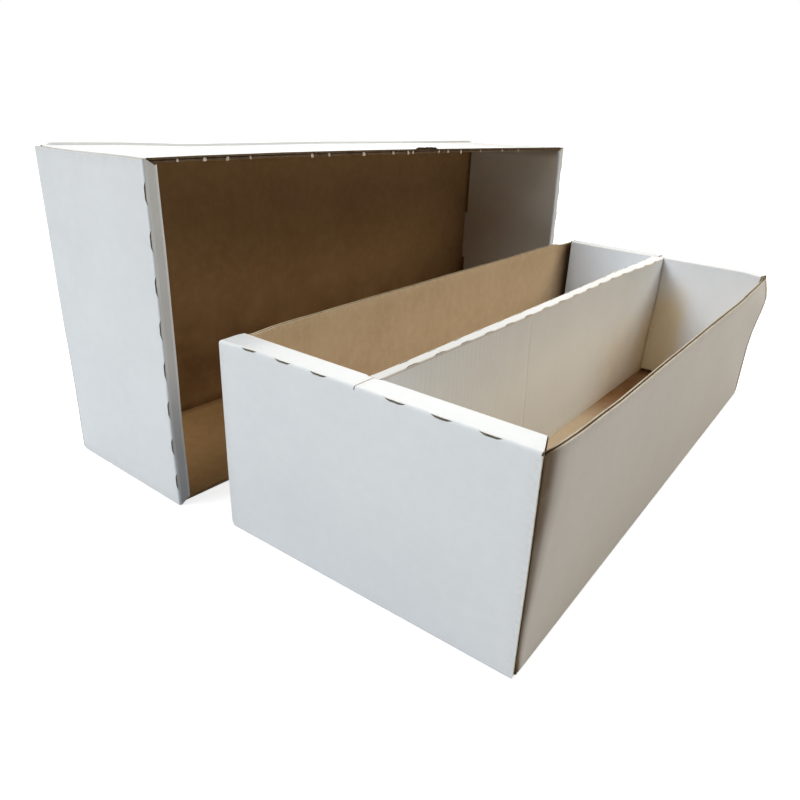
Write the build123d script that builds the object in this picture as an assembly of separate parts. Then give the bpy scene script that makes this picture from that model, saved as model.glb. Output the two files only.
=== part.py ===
from build123d import *
import math
import os

# Card storage box of corrugated board, in millimetres: a two-row tray, its divider and its lid.
# The tray stands on the floor and opens upwards, with its length along Y and its front end at -Y.
# The origin is the centre of the tray's underside. The lid stands beside it on one long wall.
# Tray, divider and lid are folded blanks. Each flat panel between two creases is a solid of its own.

# Board
board = 2.2             # thickness of the corrugated board
fold_radius = 1.6       # outer radius of a crease
seat_gap = 0.2          # play between boards that lie against each other
swing_gap = 0.3         # play around a panel that folds
hinge_play = 0.15       # set-back of a folding panel from its crease line

# Tray
tray_width = 163.0      # over the long walls
tray_length = 377.0     # over the ends
tray_height = 100.0     # underside to the top of the rims
tray_rim = 13.3         # depth of the flat rim on each end
tray_flap_gap = 14.0    # between the two flaps folded in along an end
tray_shoulder = 10.3    # stretch at each side of an inner panel that stays off the bottom
seam = 0.5              # cut between the left and right half of a rim

# Divider
divider_width = 7.6     # over both leaves
divider_flange = 24.0   # reach of an end flange behind the inner panel

# Lid
lid_width = 172.6       # over the long walls
lid_length = 392.4      # over the ends
lid_depth = 96.0        # top panel to the opening
lid_rim = 7.0           # depth of the flat rim on each end
lid_flap_gap = 15.0     # between the two flaps folded in along an end
lid_shoulder = 62.0     # stretch at each side of an inner panel that stays off the top panel

# Rims and inner panels, on tray and lid alike
rim_taper = 2.6         # how much further in a rim's corner lies at the inner crease
shoulder_lift = 2.6     # how high an inner panel stays off beside its foot

# Slits cut along a crease, so that it folds sharply
slit_length = 10.0
slit_pitch = 20.6
slit_margin = 8.5       # uncut board left at each end of a crease, at least
slit_width = 1.1

# Place of the lid beside the tray
lid_turn = -1.65        # degrees about Z
lid_corner_x = -115.9   # near corner of the lid's opening
lid_corner_y = -194.2

SIDES = {"left": -1, "right": 1}
ENDS = {"front": -1, "back": 1}
LID_SIDES = {"upper": -1, "lower": 1}
LID_ENDS = {"near": -1, "far": 1}
UP = Vector(0, 0, 1)


def outline(length, start_folds, end_folds):
    """Section of a panel from 0 to length, with its outer face on the first axis.

    A folded edge is mitred at 45 degrees and rounded outside. Any other edge is cut square.
    """
    mid = fold_radius * (1 - math.cos(math.pi / 4))
    via = (fold_radius * (1 - math.sin(math.pi / 8)), fold_radius * (1 - math.cos(math.pi / 8)))
    ends = []
    with BuildSketch() as sketch:
        with BuildLine():
            for edge, inward, folds in ((0, 1, start_folds), (length, -1, end_folds)):
                if folds:
                    top = (edge + inward * board, board)
                    low = (edge + inward * fold_radius, 0)
                    bend = (edge + inward * mid, mid)
                    Line(top, bend)
                    ThreePointArc(bend, (edge + inward * via[0], via[1]), low)
                else:
                    top = (edge, board)
                    low = (edge, 0)
                    Line(top, low)
                ends.append((top, low))
            Line(ends[0][0], ends[1][0])
            Line(ends[0][1], ends[1][1])
        make_face()
    return sketch.sketch


def panel(width, height, folds=()):
    """Flat panel, centred across its width, from 0 up its height, with its outer face at Z 0.

    Its board lies at Z above 0. folds names the edges that are creases.
    """
    across = Plane(origin=(-width / 2, 0, 0), x_dir=(1, 0, 0), z_dir=(0, -1, 0))
    along = Plane(origin=(-width / 2, 0, 0), x_dir=(0, 1, 0), z_dir=(1, 0, 0))
    wide = extrude(across * outline(width, "left" in folds, "right" in folds), amount=-height)
    tall = extrude(along * outline(height, "bottom" in folds, "top" in folds), amount=width)
    return wide & tall


def standing(foot, inward):
    """Plane for an upright panel: foot is the middle of its lower edge, inward points into its board."""
    return Plane(origin=foot, x_dir=UP.cross(inward), z_dir=inward)


def lying(edge, away):
    """Plane for a flat panel seen from above: edge is the middle of its near edge, away its direction."""
    return Plane(origin=edge, x_dir=away.cross(-UP), z_dir=-UP)


def slits(corner, along, into, places):
    """Narrow cutters on the mitre of a crease, at the given places along it."""
    cutter = Box(slit_length, 4 * board, slit_width)
    return [Plane(origin=corner + along * place, x_dir=along, z_dir=along.cross(into)) * cutter for place in places]


def slit_places(start, end):
    """Centres of the slits that fit between two ends of a crease, spread evenly about its middle."""
    count = int((end - start - 2 * slit_margin - slit_length) // slit_pitch) + 1
    middle = (start + end) / 2
    return [middle + (index - (count - 1) / 2) * slit_pitch for index in range(count)]


def cut(solid, cutters):
    for cutter in cutters:
        solid = solid - cutter
    return solid


def rollover_box(name, bottom_name, sizes, side_names, end_names, halves):
    """Open box with double ends: each end folds over its rim and down again inside.

    It stands on Z 0 and opens upwards. Returns its panels by node name.
    """
    width, length, height, rim, flap_gap, shoulder, slot = sizes
    parts = {}
    flap = (width - flap_gap) / 2
    wall_top = height - board - seat_gap
    flap_face = length / 2 - board - seat_gap
    parts[bottom_name] = Pos(0, -length / 2, 0) * panel(width, length, ("left", "right", "bottom", "top"))
    for side_name, side in side_names.items():
        out = Vector(side, 0, 0)
        wall = panel(2 * flap_face, wall_top, ("left", "right", "bottom"))
        parts[f"{name}_{side_name}_wall"] = standing(out * (width / 2), -out) * wall
        for end_name, end in end_names.items():
            forth = Vector(0, end, 0)
            plane = standing(out * (width / 2 - flap / 2) + forth * flap_face + UP * (board + seat_gap), -forth)
            crease = "left" if plane.x_dir.dot(out) < 0 else "right"
            tuck = panel(flap, wall_top - board - seat_gap, (crease,))
            parts[f"{name}_{end_name}_{side_name}_flap"] = plane * tuck
    for end_name, end in end_names.items():
        forth = Vector(0, end, 0)
        crease_line = forth * (length / 2) + UP * height
        outer = standing(forth * (length / 2), -forth) * panel(width, height, ("bottom", "top"))
        for half_name, half in halves.items():
            start = half * (slot / 2 + swing_gap) if half else -(width / 2 - board - swing_gap)
            stop = (half or 1) * (width / 2 - board - swing_gap)
            rim_start = half * seam / 2 if half else -(width / 2 - seat_gap)
            rim_stop = (half or 1) * (width / 2 - seat_gap)
            label = f"{name}_{end_name}_{half_name}_" if half else f"{name}_{end_name}_"
            cutters = slits(
                crease_line,
                Vector(1, 0, 0),
                -forth - UP,
                slit_places(min(rim_start, rim_stop), max(rim_start, rim_stop)),
            )
            outer = cut(outer, cutters)
            parts[label + "rim"] = cut(rim_panel(rim_start, rim_stop, length, height, rim, forth, half), cutters)
            parts[label + "inner_panel"] = inner_panel(start, stop, length, height, rim, shoulder, forth)
        parts[f"{name}_{end_name}_end"] = outer
    return parts


def rim_panel(start, stop, length, height, rim, forth, half):
    """Flat rim between the outer and the inner crease of an end, with its free corners drawn in."""
    low, high = min(start, stop), max(start, stop)
    inner_y = length / 2 - rim
    depth = rim - hinge_play
    plane = lying(Vector((low + high) / 2, 0, height) + forth * inner_y, forth)
    strip = plane * panel(high - low, depth, ("bottom", "top"))
    low_taper = rim_taper if half <= 0 else 0
    high_taper = rim_taper if half >= 0 else 0
    with BuildSketch(Plane.XY.offset(height - board)) as shape:
        with BuildLine():
            Polyline(
                (low + low_taper, forth.Y * inner_y),
                (high - high_taper, forth.Y * inner_y),
                (high, forth.Y * (inner_y + depth)),
                (low, forth.Y * (inner_y + depth)),
                close=True,
            )
        make_face()
    return strip & extrude(shape.sketch, amount=board)


def inner_panel(start, stop, length, height, rim, shoulder, forth):
    """Inner layer of an end, hanging from the rim, with a shoulder at each side of its foot."""
    low, high = min(start, stop), max(start, stop)
    middle = (low + high) / 2
    bottom = board + swing_gap
    top = height - hinge_play
    plane = standing(Vector(middle, 0, bottom) + forth * (length / 2 - rim), forth)
    sheet = panel(high - low, top - bottom, ("top",))
    for hand in (-1, 1):
        notch = Box(shoulder, 2 * shoulder_lift, 4 * board)
        sheet = sheet - Pos(hand * (high - low - shoulder) / 2, 0, 0) * notch
    return plane * sheet


def divider():
    """Folded sheet down the middle of the tray: two leaves under a narrow ridge, with end flanges."""
    parts = {}
    bottom = board + seat_gap
    under_rim = tray_height - board - seat_gap
    ridge_length = 2 * (tray_length / 2 - tray_rim - swing_gap)
    flange_face = tray_length / 2 - 2 * (board + seat_gap)
    leaf_length = 2 * (flange_face - board)
    crease_places = slit_places(-ridge_length / 2, ridge_length / 2)
    ridge = panel(divider_width, ridge_length, ("left", "right"))
    ridge = lying(Vector(0, -ridge_length / 2, tray_height), Vector(0, 1, 0)) * ridge
    for side_name, side in SIDES.items():
        out = Vector(side, 0, 0)
        crease = out * (divider_width / 2) + UP * tray_height
        cutters = slits(crease, Vector(0, 1, 0), -out - UP, crease_places)
        tall = panel(ridge_length, tray_height - bottom, ("top",))
        low = panel(leaf_length, under_rim - bottom)
        leaf = standing(out * (divider_width / 2) + UP * bottom, -out) * (tall + low)
        parts[f"divider_{side_name}_leaf"] = cut(leaf, cutters)
        ridge = cut(ridge, cutters)
        for end_name, end in ENDS.items():
            forth = Vector(0, end, 0)
            middle = out * (divider_width / 2 - board + divider_flange / 2)
            flange = panel(divider_flange, under_rim - bottom)
            parts[f"divider_{end_name}_{side_name}_flange"] = (
                standing(middle + forth * flange_face + UP * bottom, -forth) * flange
            )
    parts["divider_ridge"] = ridge
    return parts


tray_sizes = (tray_width, tray_length, tray_height, tray_rim, tray_flap_gap, tray_shoulder, divider_width)
lid_sizes = (lid_width, lid_length, lid_depth, lid_rim, lid_flap_gap, lid_shoulder, 0)
tray = rollover_box("tray", "tray_bottom", tray_sizes, SIDES, ENDS, SIDES)
lid = rollover_box("lid", "lid_top", lid_sizes, LID_SIDES, LID_ENDS, {"whole": 0})

# The lid is built like the tray, then stood on its lower wall with its opening towards the tray.
lid_place = (
    Pos(lid_corner_x, lid_corner_y, lid_width / 2)
    * Rot(0, 0, lid_turn)
    * Pos(-lid_depth, lid_length / 2, 0)
    * Rot(0, 90, 0)
)
pieces = {**tray, **divider(), **{node: lid_place * solid for node, solid in lid.items()}}

os.makedirs("parts", exist_ok=True)
for node, solid in pieces.items():
    export_step(solid, f"parts/{node}.step")
print(len(pieces), "parts written")
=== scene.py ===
import math

import bmesh
import bpy
import numpy as np
from mathutils import Matrix, Vector

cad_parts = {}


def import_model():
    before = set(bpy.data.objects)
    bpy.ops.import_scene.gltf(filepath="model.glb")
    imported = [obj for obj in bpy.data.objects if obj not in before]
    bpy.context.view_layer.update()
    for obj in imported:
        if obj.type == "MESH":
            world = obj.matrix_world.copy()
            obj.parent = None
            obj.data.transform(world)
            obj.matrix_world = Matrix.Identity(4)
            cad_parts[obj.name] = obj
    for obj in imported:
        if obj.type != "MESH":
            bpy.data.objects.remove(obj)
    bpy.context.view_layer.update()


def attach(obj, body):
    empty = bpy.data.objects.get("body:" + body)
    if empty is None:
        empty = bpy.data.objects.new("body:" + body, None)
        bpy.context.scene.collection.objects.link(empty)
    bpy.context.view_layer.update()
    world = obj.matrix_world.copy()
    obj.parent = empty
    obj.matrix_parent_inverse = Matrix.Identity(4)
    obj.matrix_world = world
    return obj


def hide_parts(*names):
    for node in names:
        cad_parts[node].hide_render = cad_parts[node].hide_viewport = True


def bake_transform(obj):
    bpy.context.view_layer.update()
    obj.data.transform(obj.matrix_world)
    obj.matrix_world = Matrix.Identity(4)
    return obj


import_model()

MM = 0.001

# Sizes of the part, in millimetres
BOARD, FOLD = 2.2, 1.6  # thickness and outer fold radius of the board
SEAT, SWING = 0.2, 0.3  # play between boards at rest, and around a panel that folds
TRAY = dict(w=163.0, l=377.0, h=100.0, rim=13.3, gap=14.0, shoulder=10.3)
LID = dict(w=172.6, l=392.4, h=96.0, rim=7.0, gap=15.0, shoulder=62.0)
SEAM, DIVIDER, FLANGE = 0.5, 7.6, 24.0  # cut between rim halves, width of the divider, its end flanges
TAPER, LIFT = 2.6, 2.6  # draw-in of a rim's corner, lift of a panel beside its foot
SLIT, PITCH, MARGIN = 10.0, 20.6, 8.5  # slits along a crease
TURN, LID_X, LID_Y = math.radians(-1.65), -115.9, -194.2
LINER, FLUTE = 0.32, 3.7  # thickness of a liner, and pitch of the waved sheet
WAVE_SHEET, WAVE_INSET = 0.2, 0.12  # thickness of the waved sheet, and its set-back from a cut edge
RIDGE_FOLD = 1.0  # outer fold radius along the ridge

# Material places on every board mesh
FACE, BACK, CORE, CUT, DARK = 0, 1, 2, 3, 4
# Directions
X, Y, UP, DOWN = (1, 0, 0), (0, 1, 0), (0, 0, 1), (0, 0, -1)

# Unevenness of the tray: how far the right wall bows out, at places along it
RIGHT_AT = [-188, -174, -160, -140, -120, -60, -20, 40, 75, 100, 126, 150, 168, 186]
RIGHT_BOW = [0.4, 1.5, 2.6, 3.2, 3.8, 3.9, 4.3, 4.9, 5.6, 5.5, 4.6, 3.0, 1.6, 0.2]
# How far the back right corner bulges, at heights on the walls and on the inner panel
BULGE_AT = [0, 40, 53, 60, 67, 74, 81, 87, 94, 100]
WALL_BULGE = [0, 0.5, 1.5, 2.5, 3.6, 4.7, 5.4, 4.6, 2.8, 1.2]
PANEL_BULGE = [0, 0, 0, 0, 0, 0, 0, 0.1, 0.5, 1.2]
# How far the right leaf flares at the back, at heights on it
FLARE_AT = [4, 22, 34, 46, 58, 70, 76, 82, 88, 94, 98]
FLARE = [0.8, 0.65, 0.65, 0.9, 1.05, 1.05, 0.95, 0.7, 0.45, 0.15, 0]
# How much the back right inner panel is narrowed beside the divider, at heights on it
CLEAR_AT = [25, 34, 40, 46, 52, 58, 64, 70, 76, 82, 88, 94, 100]
CLEAR = [0.05, 0.15, 0.32, 0.5, 0.68, 0.82, 0.92, 0.95, 0.9, 0.75, 0.55, 0.3, 0]
# How far an inner panel, its rim and, beyond that, the rim's inner corner end short of the tray's wall
SHORT = {"tray_back_left_": (4.2, 3.4, 0), "tray_front_right_": (3.0, 0.6, 1.9)}
# Unevenness of the lid: how far the free edge of its upper wall bows up, at places along it in decimetres
BOW = np.polyfit([-1.96, -1.66, -1.32, -0.83, -0.23, 0.19, 0.68, 1.26, 1.69, 1.96],
                 [0.85, 1.8, 2.05, 2.75, 3.1, 3.15, 3.15, 3.1, 3.0, 3.1], 4)
# How far the back edge of that wall lies below the plane of the wall, at places along it
BACK_EDGE_AT = [-196, -150, -132, -110, -56, 0, 60, 110, 196]
BACK_EDGE_LOW = [1.5, 1.6, 2.0, 2.5, 1.9, 1.2, 1.1, 0.9, 0.45]
# Where small flakes are torn loose along its free edge
NICKS = (-178.2, -163.9, -151.2, -138.0, -96.9, -84.1, -56.0, -29.4,
         -14.9, -9.9, 18.1, 28.3, 43.6, 68.7, 98.8, 122.7)

# How far the band of painted shade at the end of a long wall reaches, at heights on it, and how it fades over
# that reach
BAND_AT, BAND_REACH = [0, 24, 42, 60, 77, 91], [2.0, 2.9, 4.4, 5.8, 8.0, 8.4]
FADE_AT, FADE = [0, 0.5, 0.75, 1.0, 1.25, 1.7, 2.3], [1.05, 0.95, 0.84, 0.58, 0.34, 0.17, 0]
# How strong the painted brown shade on the tray's floor is beside the divider, at places along it
BROWN_AT, BROWN = [41, 59, 76, 94, 113, 137, 158, 188], [0, 0.17, 0.5, 0.8, 0.85, 0.8, 0.75, 0.8]

# Grid lines around the middle of a slit, in tenths of its length
SLIT_STEPS = (-5.0, -4.7, -4.2, -3.4, -2.4, -1.2, 0.0, 1.2, 2.4, 3.4, 4.2, 4.7, 5.0)

# Camera: place in millimetres, angles in degrees, focal length and centre in pixels of a square picture
EYE = (159.581, -369.292, 203.077)
CAM_YAW, CAM_PITCH, CAM_ROLL = -32.364, -22.728, 4.097
FOCAL, CENTRE, PICTURE = 667.759, (453.55, 385.794), 800
AIM = (-0.03, 0.0, 0.05)  # what the lamps point at, in metres


# Numbers

def unit(t):
    """t, held between 0 and 1."""
    return np.clip(t, 0, 1)


def smooth(t):
    """Smooth step from 0 to 1."""
    t = unit(t)
    return t * t * (3 - 2 * t)


def lattice(i, j, k, seed):
    """Repeatable value between -1 and 1 at whole-number places."""
    n = (i * 374761393 + j * 668265263 + k * 2147483647 + seed * 974634777) & 0xFFFFFFFF
    n = ((n ^ (n >> 13)) * 1274126177) & 0xFFFFFFFF
    n = n ^ (n >> 16)
    return (n & 0xFFFF) / 32767.5 - 1.0


def noise(p, scale, seed=0):
    """Smooth repeatable noise between about -1 and 1 at the rows of p."""
    q = np.asarray(p, float) / scale
    base = np.floor(q).astype(np.int64)
    f = smooth(q - base)
    out = np.zeros(len(q))
    for corner in np.ndindex(2, 2, 2):
        weight = 1.0
        for k, far in enumerate(corner):
            weight = weight * (f[:, k] if far else 1 - f[:, k])
        out += weight * lattice(*(base + corner).T, seed)
    return out


def ripple(u, scale, seed):
    """Noise along a line."""
    return noise(np.stack([u, 0 * u, 0 * u], axis=1), scale, seed)


def slit_places(start, end):
    """Centres of the slits that fit between two ends of a crease."""
    count = int((end - start - 2 * MARGIN - SLIT) // PITCH) + 1
    middle = (start + end) / 2
    return [middle + (i - (count - 1) / 2) * PITCH for i in range(count)]


def spaced(start, end, step, extra=()):
    """Grid lines from start to end about step apart, with the extra lines kept exactly."""
    first, last = min(start, end) - 1e-6, max(start, end) + 1e-6
    fixed = sorted({round(v, 4) for v in (start, end, *extra) if first <= v <= last})
    lines = []
    for a, b in zip(fixed, fixed[1:]):
        n = max(1, int(round((b - a) / step)))
        lines += [a + (b - a) * i / n for i in range(n)]
    lines.append(fixed[-1])
    return np.array(lines)


# Where things stand

def tray_place(p, bulging=WALL_BULGE):
    """The tray's slight unevenness: walls bow out, the far end stands a little taller.

    x, y and z are views of p, so each step works on the points as the steps before it left them.
    """
    p = p.copy()
    x, y, z = p[:, 0], p[:, 1], p[:, 2]
    s = unit(y / TRAY["l"] + 0.5)
    up = unit(z / 100.0)
    bow = np.sin(math.pi * s) * up ** 1.4
    side = np.clip(x / (TRAY["w"] / 2), -1.05, 1.05)
    right = np.interp(y, RIGHT_AT, RIGHT_BOW)
    p[:, 0] += np.where(side > 0, right * up ** 1.4, 2.4 * bow) * side * np.abs(side)
    # the left wall stands a little taller, and so does the whole back end
    tall = smooth((-x - 70) / 9) * up ** 3 * smooth((170 - np.abs(y)) / 16)
    p[:, 2] += tall * (0.8 + 1.3 * smooth((y - 60) / 80))
    p[:, 2] += 0.8 * up * s
    # large faces are a little wavy
    flat = unit(1 - np.abs(z - 50) / 50) ** 0.5
    p[:, 1] += 0.35 * flat * noise(p * (1, 0, 1), 42, 3) * unit((np.abs(y) - 160) / 20)
    p[:, 0] += 0.4 * flat * noise(p * (0, 1, 1), 55, 5) * unit((np.abs(x) - 60) / 20)
    # walls tuck in behind the double ends
    near = unit((np.abs(y) - TRAY["l"] / 2 + 14) / 11) ** 1.5 * smooth((z - 2) / 6) * (z < 97.75)
    near = near * (np.abs(y) < TRAY["l"] / 2 - 2.3)
    p[:, 0] -= np.sign(x) * 0.6 * near * unit((np.abs(x) - TRAY["w"] / 2 + 7) / 4)
    # the ridge is narrower at the front and wider at the back
    wide = 2.6 * smooth((y - 60) / 110) - 1.2 * smooth((-y - 70) / 80)
    p[:, 0] += wide * up * smooth((x + 3) / 5) * (1 - smooth((x - 8) / 28))
    p[:, 0] += 0.7 * smooth(-x / 3.5) * (x > -4) * (np.abs(y) < 176.6) * (z > 97)
    # the front left end of the rim droops
    droop = smooth((-x - 58) / 22) * (1 - smooth((y + TRAY["l"] / 2) / 11)) * smooth((z - 84) / 13)
    p[:, 2] -= 1.2 * droop
    # the back right corner bulges below the rim
    bulge = np.interp(z, BULGE_AT, bulging)
    corner = smooth((y - 110) / 78) * unit((x - 55) / 26)
    p[:, 0] += bulge * corner
    p[:, 2] -= 1.6 * corner * smooth((z - 70) / 30) * smooth((x - 62) / 19)
    return p


def inner_place(p):
    """As tray_place, but straight at the bulging corner, as the inner panels are."""
    return tray_place(p, PANEL_BULGE)


def divider_place(p):
    """The divider leans: its foot stands a little to the left of its ridge."""
    p = p.copy()
    y, z = p[:, 1], p[:, 2]
    s = unit(y / TRAY["l"] + 0.5)
    lean = unit(1 - z / 100)
    p[:, 0] -= (1.6 * np.sin(math.pi * s) + 0.9) * lean
    p[:, 0] += 0.5 * noise(p * (0, 1, 0.3), 48, 9) * unit(z / 90)
    # a faint dent runs down the right leaf
    dent = np.exp(-(y + 48.9 - 0.115 * (97 - z)) ** 2) * (p[:, 0] > 1.2) * (z < 97)
    p[:, 0] -= 0.35 * dent
    # the right leaf flares against the inner panel at the back
    p[:, 0] += np.interp(z, FLARE_AT, FLARE) * smooth((y - 162) / 10) * smooth((p[:, 0] - 0.5) / 2)
    return tray_place(p)


def slot_clearance(label, z):
    """How much an inner panel is narrowed beside the divider at height z, so that it swings clear."""
    if label == "tray_back_right_":
        return np.interp(z, CLEAR_AT, CLEAR)
    if label == "tray_back_left_":
        return 0.25 * smooth((99 - z) / 6) + 1.05 * (1 - z / 100)
    return 0 * z


def lid_bow(p):
    """The lid's slight unevenness, in its own frame. As in tray_place, the steps build on one another."""
    p = p.copy()
    x, y, z = p[:, 0], p[:, 1], p[:, 2]
    s = unit(y / LID["l"] + 0.5)
    up = unit(z / LID["h"])
    high = unit(-x / (LID["w"] / 2))
    p[:, 0] -= np.polyval(BOW, y / 100) * up ** 1.5 * high ** 2
    # the back of the upper wall lies low, and its fold stands a little proud of it
    top = smooth((-x - 78) / 5)
    inner = smooth((LID["l"] / 2 - 4 - np.abs(y)) / 3)
    low = np.interp(y, BACK_EDGE_AT, BACK_EDGE_LOW)
    p[:, 0] += top * (low * smooth((88 - z) / 80) - 1.4 * inner * smooth((3.6 - z) / 1.1))
    # the top panel and the ends are a little wavy
    middle = unit(1 - np.abs(x) / (LID["w"] / 2))
    p[:, 2] += 1.2 * np.sin(math.pi * s) * smooth(middle * 1.5) * unit(1 - z / 6)
    p[:, 1] += 0.4 * smooth(middle * 2) * noise(p * (1, 0, 1), 45, 13) * unit((np.abs(y) - 170) / 15)
    # the far end stands out a little towards the tray
    p[:, 2] += (1.0 + 0.8 * smooth((x + 86) / 72)) * up ** 1.5 * smooth((y - 120) / 76)
    return p


def lid_place(p):
    """From the lid's own frame, in which it opens upwards, to where it stands."""
    q = lid_bow(p)
    x, y, z = q[:, 2] - LID["h"], q[:, 1] + LID["l"] / 2, -q[:, 0]
    c, s = math.cos(TURN), math.sin(TURN)
    return np.stack([c * x - s * y + LID_X, s * x + c * y + LID_Y, z + LID["w"] / 2], axis=1)


# Board meshes

def linked(name, data):
    """New object in the scene."""
    obj = bpy.data.objects.new(name, data)
    bpy.context.scene.collection.objects.link(obj)
    return obj


class Sheet:
    """Collects closed thin layers of paper, then makes one object of them."""

    def __init__(self, name, place, slot, kinds):
        self.name, self.place, self.slot, self.kinds = name, place, slot, kinds
        self.points, self.faces, self.mats, self.uvs, self.wear = [], [], [], [], []
        self.count, self.painted_shade = 0, None

    def grid(self, us, vs, where, low, high, keep=None, mats=(FACE, BACK, CUT), along=0, wear=None,
             uv_of=None):
        """One closed layer over the grid us x vs.

        where(u, v, w) gives points, low and high are the layer's two depths, and keep tells which cells
        there are. mats gives the places of the materials on its low side, its high side and its edges.
        """
        nu, nv = len(us), len(vs)
        u, v = (lines.ravel() for lines in np.meshgrid(us, vs, indexing="ij"))
        depths = [w(u, v) if callable(w) else np.full(len(u), w) for w in (low, high)]
        both = np.concatenate([where(u, v, w) for w in depths])
        cells = np.ones((nu - 1, nv - 1), bool)
        if keep is not None:
            cu, cv = np.meshgrid((us[1:] + us[:-1]) / 2, (vs[1:] + vs[:-1]) / 2, indexing="ij")
            cells = keep(cu, cv)
        there = np.pad(cells, 1)
        n = nu * nv
        uv = np.stack([u, v], axis=1) if uv_of is None else uv_of(u, v)
        if along:
            uv = uv[:, ::-1]
        worn = np.zeros(n) if wear is None else wear(u, v)
        used = {}

        def vid(k):
            if k not in used:
                used[k] = self.count
                self.count += 1
                self.points.append(both[k])
                self.uvs.append(uv[k % n] * MM)
                self.wear.append(worn[k % n])
            return used[k]

        def add(ids, mat):
            self.faces.append([vid(k) for k in ids])
            self.mats.append(mat)

        for i in range(nu - 1):
            for j in range(nv - 1):
                if not cells[i, j]:
                    continue
                a, b, c, d = i * nv + j, (i + 1) * nv + j, (i + 1) * nv + j + 1, i * nv + j + 1
                add((a, d, c, b), mats[0])
                add((a + n, b + n, c + n, d + n), mats[1])
                for beside, ids in (((i - 1, j), (a, a + n, d + n, d)), ((i + 1, j), (b, c, c + n, b + n)),
                                    ((i, j - 1), (a, b, b + n, a + n)), ((i, j + 1), (d, d + n, c + n, c))):
                    if not there[beside[0] + 1, beside[1] + 1]:
                        add(ids, mats[2])

    def build(self):
        """Put the points in place and make the object, with its materials and its wear and painted shade."""
        raw = np.array(self.points)
        pts = self.place(raw) * MM
        mesh = bpy.data.meshes.new(self.name)
        mesh.from_pydata(pts.tolist(), [], self.faces)
        for kind in self.kinds:
            mesh.materials.append(MATERIALS[kind])
        mesh.polygons.foreach_set("material_index", np.array(self.mats, dtype=np.int32))
        layer = mesh.uv_layers.new(name="board")
        loops = np.zeros(len(mesh.loops), dtype=np.int32)
        mesh.loops.foreach_get("vertex_index", loops)
        layer.data.foreach_set("uv", np.array(self.uvs, dtype=np.float32)[loops].ravel())
        tones = {"wear": np.array(self.wear)}
        # painted shade: per-point darkening or greying of the colour that stands in for shade
        if self.painted_shade is not None:
            tones["painted_shade"] = self.painted_shade(*raw.T)
        for name, values in tones.items():
            data = mesh.attributes.new(name, "FLOAT", "POINT").data
            data.foreach_set("value", values.astype(np.float32))
        bm = bmesh.new()
        bm.from_mesh(mesh)
        bmesh.ops.recalc_face_normals(bm, faces=bm.faces)
        bm.to_mesh(mesh)
        bm.free()
        mesh.validate()
        mesh.shade_smooth()
        mesh.set_sharp_from_angle(angle=math.radians(38))
        obj = linked(self.name, mesh)
        return obj


def flat(origin, u_dir, v_dir, w_dir):
    """Places (u, v, w) on a plane through origin."""
    o, a, b, c = (np.array(t, float) for t in (origin, u_dir, v_dir, w_dir))
    return lambda u, v, w: o + u[:, None] * a + v[:, None] * b + w[:, None] * c


def tangent(fold, w):
    """How far from the corner line a layer at depth w begins to bend."""
    return max(fold, w + 0.15)


def board(sheet, where, us, vs, flute="v", keep=None, shift=None, folds=(), radius=FOLD, wear=None,
          liner=(LINER, LINER), cuts=(CUT, BACK)):
    """A flat panel of board: two liners, and between them the waved sheet with its ridges along flute.

    folds names the edges (u0, u1, v0, v1) that end at a crease. The grid reaches the sharp corner line there,
    and every layer stops at its own tangent line. liner gives the thickness of the outer and the inner liner,
    and cuts the material places of their cut edges.
    """
    us, vs = np.asarray(us, float), np.asarray(vs, float)
    u_folds, v_folds = ("u0" in folds, "u1" in folds), ("v0" in folds, "v1" in folds)

    def lines(grid, first, last, w):
        """Grid lines of a layer, which ends at its tangent line where there is a crease."""
        g, t = grid, tangent(radius, w)
        if first:
            g = np.concatenate([[grid[0] + t], g[g > grid[0] + t + 0.4]])
        if last:
            g = np.concatenate([g[g < grid[-1] - t - 0.4], [grid[-1] - t]])
        return g

    def moved(u, v, w):
        """Where a point goes when shift draws it in."""
        if shift is None:
            return where(u, v, w)
        du, dv = shift(u, v, w)
        return where(u + du, v + dv, w)

    along = 0 if flute == "v" else 1
    layers = ((0.0, liner[0], (FACE, CORE, cuts[0])), (BOARD - liner[1], BOARD, (CORE, BACK, cuts[1])))
    for low, high, mats in layers:
        g_u, g_v = lines(us, *u_folds, high), lines(vs, *v_folds, high)
        sheet.grid(g_u, g_v, moved, low, high, keep, mats, along, wear)

    def set_back(grid, first, last):
        """The waved sheet ends a little behind the cut edges."""
        if not first:
            grid = np.concatenate([[grid[0] + WAVE_INSET], grid[grid > grid[0] + 0.5]])
        if not last:
            grid = np.concatenate([grid[grid < grid[-1] - 0.5], [grid[-1] - WAVE_INSET]])
        return grid
    g_u = set_back(lines(us, *u_folds, BOARD), *u_folds)
    g_v = set_back(lines(vs, *v_folds, BOARD), *v_folds)
    mid, amp = (BOARD + liner[0] - liner[1]) / 2, (BOARD - sum(liner) - WAVE_SHEET) / 2
    k = 2 * math.pi / FLUTE
    if flute == "v":
        g_u = spaced(g_u[0], g_u[-1], FLUTE / 8, g_u)
    else:
        g_v = spaced(g_v[0], g_v[-1], FLUTE / 8, g_v)
    phase = lambda u, v: (u if flute == "v" else v) * k
    half = lambda ph: 0.5 * WAVE_SHEET * np.sqrt(1 + (amp * k * np.cos(ph)) ** 2 * 0.5)
    lo = lambda u, v: mid + amp * np.sin(phase(u, v)) - half(phase(u, v))
    hi = lambda u, v: mid + amp * np.sin(phase(u, v)) + half(phase(u, v))
    sheet.grid(g_u, g_v, moved, lo, hi, keep, (CORE, CORE, CORE), along, wear)


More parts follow.
